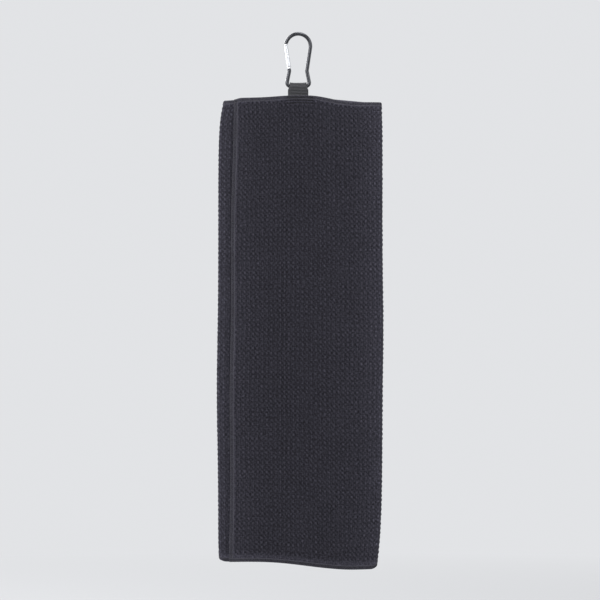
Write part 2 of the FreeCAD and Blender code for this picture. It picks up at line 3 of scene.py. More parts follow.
import bpy
import numpy as np
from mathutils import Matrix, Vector


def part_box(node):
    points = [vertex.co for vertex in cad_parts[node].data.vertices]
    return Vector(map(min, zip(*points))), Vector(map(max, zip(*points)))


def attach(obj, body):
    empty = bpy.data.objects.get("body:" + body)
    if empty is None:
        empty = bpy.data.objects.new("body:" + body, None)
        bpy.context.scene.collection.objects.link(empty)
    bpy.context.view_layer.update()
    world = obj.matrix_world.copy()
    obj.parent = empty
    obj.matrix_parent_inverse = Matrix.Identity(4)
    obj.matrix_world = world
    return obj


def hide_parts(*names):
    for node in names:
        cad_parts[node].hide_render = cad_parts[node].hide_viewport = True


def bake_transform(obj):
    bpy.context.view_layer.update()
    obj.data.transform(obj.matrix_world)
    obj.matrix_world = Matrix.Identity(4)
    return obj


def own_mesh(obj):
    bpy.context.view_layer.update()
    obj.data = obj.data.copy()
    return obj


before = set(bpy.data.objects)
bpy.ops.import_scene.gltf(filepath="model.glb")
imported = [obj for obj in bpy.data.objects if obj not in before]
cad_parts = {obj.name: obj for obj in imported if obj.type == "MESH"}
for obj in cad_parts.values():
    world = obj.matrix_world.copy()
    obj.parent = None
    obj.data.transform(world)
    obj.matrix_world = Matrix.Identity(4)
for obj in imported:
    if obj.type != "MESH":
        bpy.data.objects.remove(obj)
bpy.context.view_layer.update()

# Looks of the tri-fold golf towel, hung from its carabiner. Lengths are in millimetres until a
# mesh is made, in the CAD's frame: +X right, +Y back, +Z up, origin inside the carabiner's head.
#
# A place on the folded sheet is (s, z, height): s runs along the sheet from the flap's free edge
# round both folds to the inner layer's free edge, z is the height before the sheet hangs, and
# height is measured outward from the middle of the cloth.
MM = 0.001

cloth_low, cloth_high = [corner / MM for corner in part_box("towel_cloth")]
CLOTH = 1.4
PITCH = (cloth_high.y - cloth_low.y - CLOTH) / 2
RIGHT_AXIS = cloth_high.x - PITCH - CLOTH / 2
LEFT_AXIS = cloth_low.x + (PITCH + CLOTH) / 2
FLAP_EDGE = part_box("flap_edge_overlock")[0].x / MM
FLAP_LINE = -12.0
INNER_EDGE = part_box("inner_edge_overlock")[1].x / MM
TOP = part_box("top_edge_overlock")[1].z / MM
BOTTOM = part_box("bottom_edge_overlock")[0].z / MM
LONG = TOP - BOTTOM
BAR_Z = -44.0

# Where the sheet changes direction, along s.
S_FLAP = FLAP_LINE - FLAP_EDGE
S_RIGHT = RIGHT_AXIS - FLAP_EDGE
S_BACK = S_RIGHT + math.pi * PITCH
S_LEFT = S_BACK + RIGHT_AXIS - LEFT_AXIS
S_INNER = S_LEFT + math.pi * PITCH / 2
S_UNDER = S_INNER + FLAP_LINE - LEFT_AXIS
S_END = S_INNER + INNER_EDGE - LEFT_AXIS

# Waffle weave: cells from top to bottom, a pocket's depth, and a cell's width by the bend line.
ROW_CELLS = 98
RELIEF = 0.8
CELL = 3.77
# The mesh has close rows from the top down to FINE_TO, round the tack, and wider ones below.
FINE_TO = -62.0
FINE_ROWS = 24
LOWER_ROWS = 384

# Overlock: the band's width, half the squeezed cloth's thickness, and the radii of its threads.
BAND = 2.8
SQUEEZED = 0.35
EDGE_THREAD = 0.2
ROW_THREAD = 0.26
# From one turn of the wound thread to the next, and the length of a stitch in the row beside it.
EDGE_PITCH = 0.95
ROW_STITCH = 2.2
TURN_STEPS = 14
STITCH_STEPS = 8
# How far the row lies in the cloth's face, and how much deeper it dips between stitches.
ROW_SUNK = 0.12
ROW_DIP = 0.28

# Tack: its stitches, the heights of its rows, and the sewing thread's radius.
STITCH = 2.35
STITCHES = 9
ROW_LEFT = -9.4
ROWS = [-54.5, -56.9, -59.3]
SEWING = 0.25

# Webbing: its middle line round the foot bar, its half widths and its ribs.
TAIL_Z = -61.2
BEND_Z = -52.4
LEG_Y = PITCH / 2
EYE_RADIUS = 2.6
NECK_HALF = 7.25
FULL_HALF = 8.85
RIB_PITCH = 2.6

# The cloth pressed flat by the tack: its middle and half width, and the grooves of the stitches.
TACK_CENTRE = 1.6
TACK_HALF = 12.2
GROOVE_WIDTH = 0.6
GROOVE_DEPTH = 0.35
# How far in from the sides and the top the cloth has painted light, lighter where light catches its
# edges, and how widely the tack stops that.
EDGE_LIGHT_SIDE = 16
EDGE_LIGHT_TOP = 5
TACK_FADE = 12

# How the stack hangs. The top edge is lifted in its middle, and each droop lowers it to a side by
# (depth, width over which it comes on).
TOP_LIFT = 0.6
FRONT_DROOP = (2.3, 26)
FLAP_CORNER_DROOP = (1.3, 3.5)
BACK_DROOP = (5.0, 48)
RIGHT_DROOP = (6.0, 32)
# The bottom edge drops, slopes down to the right and waves, and its corners are (rise, x, width).
BOTTOM_DROP = 1.2
BOTTOM_SLOPE = 0.049
BOTTOM_WAVE = (1.5, 6, 130)
RIGHT_CORNER = (2.2, 74, 3.0)
LEFT_CORNER = (2.0, -70, 3.5)
# Sideways shifts of the left fold, the right fold and the flap: all the way down, then near the
# top by (amount, distance over which it fades), and at two heights by (amount, z, width).
LEFT_SHIFT, RIGHT_SHIFT, FLAP_SHIFT = -0.7, 0.4, -2.4
LEFT_TOP = (6.5, 15.6)
LEFT_WAIST = (1.3, -309, 60)
LEFT_FOOT = (3.0, -461, 6)
RIGHT_TOP = (1.6, 12)
RIGHT_WAIST = (0.8, -255, 45)
RIGHT_FOOT = (5.0, -462, 30)
# The flap's fades over a share of the length, and it waves by (amount, mm for each radian).
FLAP_TOP = (3.9, 0.35)
FLAP_WAVE = (0.4, 24)
# How far the loose cloth sways. Its sides curl back between two distances from the middle, and
# its middle comes forward.
SWAY_WIDE = 1.1
SWAY_FINE = 0.8
CURL = 4.5
CURL_FROM, CURL_TO = 38, 82
CURL_FORWARD = 0.6

# Coil spring in the gate: the gate's pivot and its direction, and how far along it the wire's axis
# starts and ends. The open gate uses 0.49 of plunger_slide's whole range.
PIVOT = np.array([-8.1437, 0.0, -27.0])
UP_GATE = np.array([-0.147809, 0.0, 0.989016])
COIL_LOW = 3.09
COIL_HIGH = 12.63
COIL_TURNS = 13
COIL_RADIUS = 0.6
COIL_WIRE = 0.15

# How deep each cell of the weave is, and a fine grain, at places that both pieces of cloth share.
random = np.random.default_rng(11)
evenness = random.uniform(0.45, 1.35, (ROW_CELLS + 2, 140))
grain = random.standard_normal((4 * ROW_CELLS + 2, 560))


# ---------------------------------------------------------------- shapes in numbers


def smooth(value, start, end):
    """0 before start and 1 after end, easing between them."""
    share = np.clip((value - start) / (end - start), 0, 1)
    return share * share * (3 - 2 * share)


def bell(value, centre, width):
    """1 at the centre, falling to nothing a few widths away."""
    return np.exp(-(((value - centre) / width) ** 2))


def comes_on(distance, width, power=2):
    """0 at no distance, easing to 1 a few widths away."""
    return 1 - np.exp(-((distance / width) ** power))


def fold_section(s):
    """The folded sheet seen from above: x and y of its middle, and the outward normal."""
    right = (s - S_RIGHT) / PITCH - math.pi / 2
    left = (s - S_LEFT) / (PITCH / 2) + math.pi / 2
    zones = [s < S_RIGHT, s < S_BACK, s < S_LEFT, s < S_INNER]
    turning_x = [FLAP_EDGE + s, RIGHT_AXIS + PITCH * np.cos(right), RIGHT_AXIS + S_BACK - s]
    x = np.select(zones, [*turning_x, LEFT_AXIS + PITCH / 2 * np.cos(left)], LEFT_AXIS + s - S_INNER)
    front, back = np.full_like(s, -PITCH), np.full_like(s, PITCH)
    y = np.select(zones, [front, PITCH * np.sin(right), back, PITCH / 2 * (1 + np.sin(left))], 0.0)
    still = np.zeros_like(s)
    normal_x = np.select(zones, [still, np.cos(right), still, np.cos(left)], 0.0)
    normal_y = np.select(zones, [still - 1, np.sin(right), still + 1, np.sin(left)], -1.0)
    return x, y, normal_x, normal_y


def hang(x, y, z):
    """Moves points of the flat stack to where the hanging towel has them."""
    share = (TOP - z) / LONG
    front = np.clip(-y / PITCH, 0, 1)
    left, right = np.clip(-x, 0, None), np.clip(x, 0, None)
    near_droop = FRONT_DROOP[0] * comes_on(left, FRONT_DROOP[1])
    near_droop = front * (near_droop + FLAP_CORNER_DROOP[0] * bell(x, FLAP_EDGE, FLAP_CORNER_DROOP[1]))
    far_droop = (1 - front) * BACK_DROOP[0] * comes_on(left, BACK_DROOP[1])
    right_droop = RIGHT_DROOP[0] * comes_on(right, RIGHT_DROOP[1], 3)
    top = TOP + TOP_LIFT - near_droop - far_droop - right_droop
    wave, wave_start, wave_length = BOTTOM_WAVE
    waving = wave * np.sin((x - wave_start) * 2 * math.pi / wave_length)
    bottom = BOTTOM - BOTTOM_DROP - BOTTOM_SLOPE * x - waving
    bottom += sum(rise * bell(x, at, width) for rise, at, width in (RIGHT_CORNER, LEFT_CORNER))
    z_hung = top + (bottom - top) * share
    fallen = TOP - z_hung

    to_left = LEFT_SHIFT + LEFT_TOP[0] * np.exp(-fallen / LEFT_TOP[1])
    to_left -= LEFT_WAIST[0] * bell(z_hung, *LEFT_WAIST[1:])
    to_left += LEFT_FOOT[0] * np.exp(-(z_hung - LEFT_FOOT[1]) / LEFT_FOOT[2])
    to_right = RIGHT_SHIFT + RIGHT_WAIST[0] * bell(z_hung, *RIGHT_WAIST[1:])
    to_right -= RIGHT_TOP[0] * np.exp(-fallen / RIGHT_TOP[1])
    to_right -= RIGHT_FOOT[0] * np.exp(-(z_hung - RIGHT_FOOT[1]) / RIGHT_FOOT[2])
    flap_shift = FLAP_TOP[0] * np.exp(-share / FLAP_TOP[1]) + FLAP_SHIFT
    flap_shift += FLAP_WAVE[0] * np.sin(fallen / FLAP_WAVE[1])
    x_hung = x + smooth(x, 25, 73) * to_right
    x_hung += front * smooth(-x, 12, 57) * flap_shift + (1 - front) * smooth(-x, 20, 69) * to_left

    loose = 1 - (1 - smooth(np.abs(x), 12, 42)) * (1 - smooth(fallen, 9, 60))
    sway = SWAY_WIDE * np.sin(x / 19 + 0.9 + 1.3 * share) + SWAY_FINE * np.sin(z / 34 + x / 45)
    swell = 1 + loose * (0.2 + 0.35 * bell(x, 70, 9) + 0.2 * bell(x, -68, 8) + 0.25 * share)
    lift = front * smooth(-x, 12, 57) * (0.2 + 0.3 * np.sin(z / 24 + 1))
    curl = CURL * smooth(np.abs(x), CURL_FROM, CURL_TO) - CURL_FORWARD
    y_hung = y * swell + loose * (sway * (0.35 + 0.65 * share) - lift + curl)
    return x_hung, y_hung, z_hung


def sheet_point(s, z, height):
    """Points on the hanging sheet."""
    s, z, height = [np.array(part, float) for part in np.broadcast_arrays(s, z, height)]
    x, y, normal_x, normal_y = fold_section(s)
    x, y, z = hang(x, y, z)
    return np.stack([x + normal_x * height, y + normal_y * height, z], axis=-1)


# ---------------------------------------------------------------- mesh building


def grid_faces(rows, columns, first=0, flip=False):
    """Quads of a grid of points numbered row by row."""
    corner = first + np.arange(rows * columns).reshape(rows, columns)
    quads = [corner[:-1, :-1], corner[1:, :-1], corner[1:, 1:], corner[:-1, 1:]]
    return np.stack(quads[::-1] if flip else quads, axis=-1).reshape(-1, 4)


def make_object(name, points, faces, flat_faces=(), **attributes):
    """A mesh object from points in millimetres; each list of faces has one corner count."""
    mesh = bpy.data.meshes.new(name)
    mesh.vertices.add(len(points))
    mesh.vertices.foreach_set("co", np.ascontiguousarray(points * MM, np.float32).ravel())
    groups = [np.asarray(group, np.int32).reshape(len(group), -1) for group in [*faces, *flat_faces]]
    corners = np.concatenate([group.ravel() for group in groups])
    counts = np.concatenate([np.full(len(group), group.shape[1]) for group in groups])
    mesh.loops.add(len(corners))
    mesh.loops.foreach_set("vertex_index", corners)
    mesh.polygons.add(len(counts))
    mesh.polygons.foreach_set("loop_start", np.concatenate([[0], np.cumsum(counts)[:-1]]))
    flat_count = sum(len(group) for group in flat_faces)
    mesh.polygons.foreach_set("use_smooth", np.arange(len(counts)) < len(counts) - flat_count)
    for label, values in attributes.items():
        kind = "FLOAT_VECTOR" if np.ndim(values) == 2 else "FLOAT"
        stored = mesh.attributes.new(label, kind, "POINT")
        field = "vector" if kind == "FLOAT_VECTOR" else "value"
        stored.data.foreach_set(field, np.ascontiguousarray(values, np.float32).ravel())
    mesh.update(calc_edges=True)
    mesh.validate()
    made = bpy.data.objects.new(name, mesh)
    bpy.context.scene.collection.objects.link(made)
    return made


def unit(vectors):
    """The same directions with length 1."""
    return vectors / np.linalg.norm(vectors, axis=-1, keepdims=True)


def tube(line, radius, across, sides=5):
    """Points and faces of a closed round tube along a line that never runs along across."""
    ahead = unit(np.gradient(line, axis=0))
    first = unit(np.cross(ahead, across))
    second = np.cross(first, ahead)
    angle = np.arange(sides + 1)[None, :, None] * 2 * math.pi / sides
    rings = line[:, None] + radius * (np.cos(angle) * first[:, None] + np.sin(angle) * second[:, None])
    count = len(line)
    quads = grid_faces(count, sides + 1)
    number = np.arange(count * (sides + 1))
    merged = (number // (sides + 1)) * sides + (number % (sides + 1)) % sides
    ends = [list(range(sides)), list(range(count * sides - 1, (count - 1) * sides - 1, -1))]
    return rings[:, :-1].reshape(-1, 3), merged[quads], np.array(ends)


def tubes_object(name, lines, sides=5):
    """One object of several tubes; each is (line, across directions, radius, brightness)."""
    points, faces, ends, bright, offset = [], [], [], [], 0
    for line, across, radius, brightness in lines:
        ring_points, quads, caps = tube(line, radius, across, sides)
        points.append(ring_points)
        faces.append(quads + offset)
        ends.append(caps + offset)
        bright.append(np.full(len(ring_points), float(brightness)))
        offset += len(ring_points)
    points, bright = np.concatenate(points), np.concatenate(bright)
    quads, caps = np.concatenate(faces), np.concatenate(ends)
    return make_object(name, points, [quads], [caps], rest=points, bright=bright)


# ---------------------------------------------------------------- cloth


def columns_of(zones):
    """Sample places s and their cell numbers u for zones of (start, end, cells, samples)."""
    s, u, cell = [], [], 0
    for start, end, cells, samples in zones:
        share = np.arange(samples) / samples
        s.append(start + (end - start) * share)
        u.append(cell + cells * share)
        cell += cells
    return np.append(np.concatenate(s), zones[-1][1]), np.append(np.concatenate(u), cell)


def lattice(table, row, column):
    """Values of a table between its rows and columns."""
    row_before, column_before = np.floor(row).astype(int), np.floor(column).astype(int)
    down, right = row - row_before, column - column_before
    pair = [
        table[line, column_before] * (1 - right) + table[line, column_before + 1] * right
        for line in (row_before, row_before + 1)
    ]
    return pair[0] * (1 - down) + pair[1] * down


def pockets(u, v):
    """Depth of the waffle's pockets: about 0 on a ridge and 1 in a deep pocket; u and v in cells.

    The ridges form upright ribs with a finer rib between them, and a shallower pocket lies half a
    cell up between deep ones.
    """
    u_bent = u + 0.09 * np.sin(0.6 * v + 2.0 * np.sin(0.23 * u)) + 0.04 * np.sin(1.7 * v + 0.9 * u)
    v_bent = v + 0.08 * np.sin(0.5 * u + 1.5 * np.sin(0.19 * v)) + 0.04 * np.sin(1.3 * u - 0.8 * v)
    across, along = np.cos(2 * math.pi * u_bent), np.cos(2 * math.pi * v_bent)
    weave = across * (0.24 + 0.66 * along) + 0.14 * along + 0.16 * np.cos(4 * math.pi * u_bent)
    depth = 0.5 + 0.05 * lattice(grain, 4 * v, 4 * u) - 0.5 * weave * lattice(evenness, v, u)
    return np.clip(depth, -0.2, 1.2)


def surface_height(s, z, pocket):
    """Height of the cloth's face: squeezed at cut edges, sunk in pockets and along stitch rows. Also
    gives the painted shade: how much darker the pockets and stitch grooves are coloured.
    """
    from_edge = np.minimum(np.minimum(TOP - z, z - BOTTOM), np.minimum(s, S_END - s))
    waffle = smooth(from_edge, BAND, BAND + 1.6) * (1 - 0.6 * smooth(-z, -BOTTOM - 8, -BOTTOM - 5))
    sewn_part = smooth(TACK_HALF - np.abs(fold_section(s)[0] - TACK_CENTRE), 0, 1.2)
    waffle = waffle * (1 - 0.85 * sewn_part * smooth(z, ROWS[-1] - 2.2, ROWS[-1] - 1))
    sewn = sum(bell(z, row, GROOVE_WIDTH) for row in ROWS) * sewn_part
    inside = smooth(from_edge, BAND - 0.5, BAND + 1)
    full = SQUEEZED + (CLOTH / 2 - SQUEEZED) * inside
    return full - RELIEF * pocket * waffle - GROOVE_DEPTH * sewn, pocket * waffle + sewn


def sheet_object(name, zones, first_cell, hidden_step, two_faced):
    """A part of the sheet: a fine visible face, a hidden face on fewer samples, and a rim."""
    s, u = columns_of(zones)
    u = u + first_cell
    fine = np.linspace(TOP, FINE_TO, FINE_ROWS + 1)[:-1]
    z = np.append(fine, np.linspace(FINE_TO, BOTTOM, LOWER_ROWS + 1))
    v = (TOP - z) / LONG * ROW_CELLS
    s_grid, z_grid = np.meshgrid(s, z)
    u_grid, v_grid = np.meshgrid(u, v)
    pocket = pockets(u_grid, v_grid)
    height, shade = surface_height(s_grid, z_grid, pocket)
    visible = sheet_point(s_grid, z_grid, height)

    rows = np.arange(0, len(z), hidden_step)
    turning = (s > S_RIGHT) & (s < S_BACK) | (s > S_LEFT) & (s < S_INNER)
    chosen = turning | (np.arange(len(s)) % hidden_step == 0)
    chosen[-1] = True
    columns = np.flatnonzero(chosen)
    pick = np.ix_(rows, columns)
    turned = 1 - pocket[pick] if two_faced else 0 * pocket[pick]
    hidden_height, hidden_shade = surface_height(s_grid[pick], z_grid[pick], turned)
    hidden = sheet_point(s_grid[pick], z_grid[pick], -hidden_height)

    front = np.arange(s_grid.size).reshape(s_grid.shape)
    back = s_grid.size + np.arange(len(rows) * len(columns)).reshape(len(rows), len(columns))
    rim = []
    for line, border in ((0, back[0]), (-1, back[-1])):
        for number in range(len(columns) - 1):
            run = front[line, columns[number] : columns[number + 1] + 1]
            face = [*run, border[number + 1], border[number]]
            rim.append(face if line == -1 else face[::-1])
    for line, border in ((0, back[:, 0]), (-1, back[:, -1])):
        for number in range(len(rows) - 1):
            run = front[rows[number] : rows[number + 1] + 1, line]
            face = [*run, border[number + 1], border[number]]
            rim.append(face if line == 0 else face[::-1])
    lengths = sorted({len(face) for face in rim})
    rims = [[face for face in rim if len(face) == length] for length in lengths]

    faces = [
        grid_faces(*s_grid.shape),
        grid_faces(len(rows), len(columns), s_grid.size, flip=True),
    ]
    points = np.concatenate([visible.reshape(-1, 3), hidden.reshape(-1, 3)])
    from_side = np.minimum(points[:, 0] - cloth_low.x, cloth_high.x - points[:, 0])
    both = [np.concatenate([grid.ravel(), grid[pick].ravel()]) for grid in (u_grid, v_grid)]
    cells = np.stack([*both, np.arange(len(points)) >= s_grid.size], axis=-1)
    # shade is how much painted shade each point's colour gets, in the pockets and the stitch grooves.
    shade = np.concatenate([shade.ravel(), hidden_shade.ravel()])
    from_top = TOP - np.concatenate([z_grid.ravel(), z_grid[pick].ravel()])
    # Painted light: the cloth is coloured lighter near its sides and its top edge, where light catches
    # the edges; the tack stops most of it at the top.
    untacked = 1 - 0.8 * bell(points[:, 0], TACK_CENTRE, TACK_FADE)
    worn = np.exp(-np.clip(from_side, 0, None) / EDGE_LIGHT_SIDE)
    worn += 0.8 * untacked * np.exp(-from_top / EDGE_LIGHT_TOP)
    return make_object(name, points, faces, rims, cells=cells, pocket=shade, worn=worn)


towel = sheet_object(
    "towel_sheet",
    [
        (S_FLAP, S_FLAP + CELL, 1, 12),
        (S_FLAP + CELL, S_RIGHT, 20, 80),
        (S_RIGHT, S_BACK, 2, 8),
        (S_BACK, S_LEFT, 35, 70),
        (S_LEFT, S_INNER, 1, 6),
        (S_INNER, S_INNER + 12, 3, 12),
        (S_INNER + 12, S_UNDER, 11, 22),
        (S_UNDER, S_END, 20, 6),
    ],
    first_cell=12,
    hidden_step=8,
    two_faced=False,
)
flap = sheet_object(
    "flap_sheet",
    [(0, S_FLAP - CELL, 11, 44), (S_FLAP - CELL, S_FLAP, 1, 12)],
    first_cell=0,
    hidden_step=1,
    two_faced=True,
)


# ---------------------------------------------------------------- overlocked edges


def overlock(place, length):
    """Thread wound round a cut edge, the row of stitches inside it and the bead along the edge."""
    turns = round(length / EDGE_PITCH)
    turn = np.arange(turns * TURN_STEPS + 1) / TURN_STEPS
    along = length * turn / turns
    swing = np.cos(2 * math.pi * turn)
    from_edge = BAND / 2 - 0.1 - BAND / 2 * np.sign(swing) * np.abs(swing) ** 0.6
    height = (SQUEEZED + 0.15) * np.sin(2 * math.pi * turn)
    wound = place(along, from_edge, height)
    ahead = place(np.clip(along + 0.5, 0, length), from_edge, height)
    behind = place(np.clip(along - 0.5, 0, length), from_edge, height)
    stitches = round(length / ROW_STITCH)
    step = np.arange(stitches * STITCH_STEPS + 1) / STITCH_STEPS
    dip = ROW_DIP * np.abs(np.cos(math.pi * step)) ** 6
    row_height = CLOTH / 2 - ROW_SUNK - dip
    row_along = length * step / stitches
    row = place(row_along, 0 * step + BAND, row_height)
    inward = place(row_along, 0 * step + BAND - 0.5, row_height)
    bead = place(row_along, -0.12 + 0.1 * np.cos(4 * math.pi * step), 0.12 * np.sin(4 * math.pi * step))
    beside = place(row_along, 0 * step - 1.0, 0 * step)
    return [
        (wound, ahead - behind, EDGE_THREAD, 0),
        (row, row - inward, ROW_THREAD, 1),
        (bead, beside - bead, ROW_THREAD, 1),
    ]


def on_top(start):
    """Places along the top edge from s = start."""
    return lambda along, inward, height: sheet_point(start + along, TOP - inward, height)


def on_bottom(start):
    """Places along the bottom edge from s = start."""
    return lambda along, inward, height: sheet_point(start + along, BOTTOM + inward, height)


def on_inner(along, inward, height):
    """Places down the inner layer's free edge."""
    return sheet_point(S_END - inward, TOP - along, height)


def on_flap(along, inward, height):
    """Places down the flap's free edge."""
    return sheet_point(inward, TOP - along, height)


top_thread = tubes_object("top_edge_thread", overlock(on_top(S_FLAP), S_END - S_FLAP))
bottom_thread = tubes_object("bottom_edge_thread", overlock(on_bottom(S_FLAP), S_END - S_FLAP))
inner_thread = tubes_object("inner_edge_thread", overlock(on_inner, LONG))
flap_lines = overlock(on_top(0), S_FLAP) + overlock(on_flap, LONG) + overlock(on_bottom(0), S_FLAP)
flap_thread = tubes_object("flap_edge_thread", flap_lines)


# ---------------------------------------------------------------- webbing and stitches


def webbing_strap():
    """A ribbed strap: down one leg, over the foot bar and down the other leg."""
    leg_z = np.linspace(TAIL_Z, BAR_Z, 90)
    leg_y = LEG_Y + (EYE_RADIUS - LEG_Y) * smooth(leg_z, BEND_Z, BAR_Z)
    turn = np.linspace(0, math.pi, 40)[1:-1]
    y = np.concatenate([-leg_y, -EYE_RADIUS * np.cos(turn), leg_y[::-1]])
    z = np.concatenate([leg_z, BAR_Z + EYE_RADIUS * np.sin(turn), leg_z[::-1]])
    travelled = np.concatenate([[0], np.cumsum(np.hypot(np.diff(y), np.diff(z)))])
    along = np.linspace(0, travelled[-1], round(travelled[-1] / 0.2))
    y, z = np.interp(along, travelled, y), np.interp(along, travelled, z)
    tangent = unit(np.stack([np.gradient(y), np.gradient(z)], axis=-1))

    middle = travelled[-1] / 2
    half_width = NECK_HALF + (FULL_HALF - NECK_HALF) * smooth(BAR_Z - z, -1.0, 4.0)
    across = np.concatenate([np.linspace(-1, 1, 41), np.linspace(1, -1, 41)])
    outside = np.concatenate([np.ones(41), -np.ones(41)])
    edge = np.abs(across) ** 12
    slanted = (along - middle - 0.87)[:, None] + 0.25 * np.sin(across * 2.6)[None, :]
    rib = 0.5 + 0.5 * np.cos(2 * math.pi * slanted / RIB_PITCH)
    rib = rib**0.7 * (1 - edge)[None, :] + 0.75 * edge[None, :]
    cord = 0.06 * np.cos(across * 2 * math.pi * 17)
    thick = (0.34 + 0.16 * rib + cord[None, :] * (1 - edge)) * np.sqrt(1.02 - edge)
    x = across[None, :] * (half_width[:, None] + 0.12 * np.cos(2 * math.pi * along / 1.3)[:, None] * edge)
    raised = 0.6 * smooth(z, BAR_Z - 1, BAR_Z + 2)[:, None] * np.abs(across) ** 5
    points_y = y[:, None] - tangent[:, 1:2] * thick * outside
    points_z = z[:, None] + tangent[:, 0:1] * thick * outside + raised
    points = np.stack([np.broadcast_to(x, points_y.shape), points_y, points_z], axis=-1)

    ring, count = len(across), len(along)
    quads = grid_faces(count, ring + 1)
    number = np.arange(count * (ring + 1))
    merged = (number // (ring + 1)) * ring + (number % (ring + 1)) % ring
    ends = np.array([list(range(ring))[::-1], list(range((count - 1) * ring, count * ring))])
    points = points.reshape(-1, 3)
    return make_object(
        "webbing_strap", points, [merged[quads]], [ends], rest=points, rib=rib.ravel()
    )


def tack_lines():
    """Lockstitch rows on both faces; the threads meet in the middle of the stack."""
    step = np.arange(STITCHES * 12 + 1) / 12
    x = ROW_LEFT + STITCH * step
    sunk = np.abs(np.cos(math.pi * step)) ** 14
    lines = []
    for z in ROWS:
        slant = z + 0.12 * np.sin(2 * math.pi * step)
        face = CLOTH / 2 - SEWING + 0.05 * np.abs(np.sin(math.pi * step))
        height = face - (PITCH + face) * sunk
        for s in (x - FLAP_EDGE, S_BACK + RIGHT_AXIS - x):
            line = sheet_point(s, slant, height)
            lines.append((line, np.array([0.0, 0.0, 1.0]), SEWING, 0))
    return lines


def spring_coil():
    """The wire of the spring inside the gate."""
    turn = np.linspace(0, COIL_TURNS, COIL_TURNS * 24 + 1)
    angle = 2 * math.pi * turn[:, None]
    across_gate = np.array([UP_GATE[2], 0.0, -UP_GATE[0]])
    towards_back = np.array([0.0, 1.0, 0.0])
    up = COIL_LOW + (COIL_HIGH - COIL_LOW) * turn[:, None] / COIL_TURNS
    outward = np.cos(angle) * across_gate + np.sin(angle) * towards_back
    line = PIVOT + up * UP_GATE + COIL_RADIUS * outward
    return [(line, outward, COIL_WIRE, 0)]


webbing = webbing_strap()
tack = tubes_object("tack_threads", tack_lines(), sides=6)
coil = tubes_object("spring_coil", spring_coil(), sides=8)


# ---------------------------------------------------------------- materials


class Graph:
    """A material's nodes, made by short calls; fixed values go on the shader's own sockets."""

    def __init__(self, name, fixed):
        self.material = bpy.data.materials.new(name)
        self.material.use_nodes = True
        self.tree = self.material.node_tree
        self.shader = self.tree.nodes["Principled BSDF"]
        for socket, value in fixed.items():
            self.shader.inputs[socket].default_value = value

    def node(self, kind, inputs, output=0, **settings):
        """Adds a node and returns one of its output sockets."""
        made = self.tree.nodes.new(f"ShaderNode{kind}")
        for name, value in settings.items():
            setattr(made, name, value)
        for socket, value in inputs.items():
            if isinstance(value, bpy.types.NodeSocket):
                self.tree.links.new(value, made.inputs[socket])
            else:
                made.inputs[socket].default_value = value
        return made.outputs[output]

    def attribute(self, name, output):
        return self.node("Attribute", {}, output, attribute_name=name)

    def noise(self, vector, scale, detail=2.0, roughness=0.6):
        sockets = {"Vector": vector, "Scale": scale, "Detail": detail, "Roughness": roughness}
        return self.node("TexNoise", sockets, "Fac")

    def between(self, value, low, high, start=0.0, end=1.0):
        """The value from start..end turned into low..high."""
        sockets = {"Value": value, "From Min": start, "From Max": end, "To Min": low, "To Max": high}
        return self.node("MapRange", sockets)

    def math(self, operation, first, second):
        return self.node("Math", {0: first, 1: second}, operation=operation)

    def mix(self, share, first, second):
        sockets = {0: share, 6: first, 7: second}
        return self.node("Mix", sockets, 2, data_type="RGBA")

    def lightness(self, colour, factor):
        return self.node("HueSaturation", {"Color": colour, "Value": factor})

    def finish(self, colour, roughness, height, distance):
        """Joins the colour, roughness and bump to the shader."""
        bump = self.node("Bump", {"Height": height, "Distance": distance, "Strength": 1.0})
        for socket, value in (("Base Color", colour), ("Roughness", roughness), ("Normal", bump)):
            self.tree.links.new(value, self.shader.inputs[socket])
        return self.material


def cloth_material():
    """Waffle-weave microfibre: painted shade in the pockets and stitch grooves, lighter fuzzy ridges,
    fine yarn loops, and painted light along the sides and top edge.
    """
    graph = Graph(
        "waffle_cloth",
        {
            "Specular IOR Level": 0.06,
            "Sheen Weight": 0.06,
            "Sheen Roughness": 0.5,
            "Sheen Tint": (0.75, 0.74, 0.85, 1),
        },
    )
    cells = graph.attribute("cells", "Vector")
    pocket = graph.attribute("pocket", "Fac")
    fuzz = graph.noise(cells, 9.0, 3.0, 0.7)
    upright = graph.node("Mapping", {"Vector": cells, "Scale": (5.0, 1.5, 1.0)})
    level = graph.node("Mapping", {"Vector": cells, "Scale": (1.5, 5.0, 1.0)})
    warp = graph.noise(upright, 1.0, 2.0)
    weft = graph.noise(level, 1.0, 2.0)
    patches = graph.noise(cells, 0.16, 2.0)
    loops = graph.node("TexVoronoi", {"Vector": cells, "Scale": 7.0}, "Distance")
    yarn_sockets = {"Vector": cells, "Scale": 0.62832, "Distortion": 0.7, "Phase Offset": 1.5708}
    yarn = graph.node("TexWave", yarn_sockets, "Fac")
    worn = graph.attribute("worn", "Fac")
    ridge = graph.mix(fuzz, (0.012, 0.0115, 0.0155, 1), (0.0435, 0.042, 0.055, 1))
    # Painted shade: the pockets and the stitch grooves are coloured darker, as shade falls in them.
    colour = graph.mix(pocket, ridge, (0.0035, 0.0034, 0.0046, 1))
    colour = graph.lightness(colour, graph.between(warp, 0.57, 1.43, 0.32, 0.68))
    colour = graph.lightness(colour, graph.between(weft, 0.62, 1.38, 0.32, 0.68))
    colour = graph.lightness(colour, graph.between(yarn, 0.92, 1.08))
    colour = graph.lightness(colour, graph.between(patches, 0.94, 1.07, 0.3, 0.7))
    # Painted light: lighter near the sides and the top edge.
    colour = graph.lightness(colour, graph.between(worn, 1.02, 1.75))
    bumps = graph.math("ADD", graph.math("MULTIPLY", loops, -0.8), graph.math("MULTIPLY", yarn, 0.3))
    bumps = graph.math("ADD", bumps, graph.math("MULTIPLY", fuzz, 0.9))
    return graph.finish(colour, graph.between(fuzz, 0.82, 1.0), bumps, 0.0003)


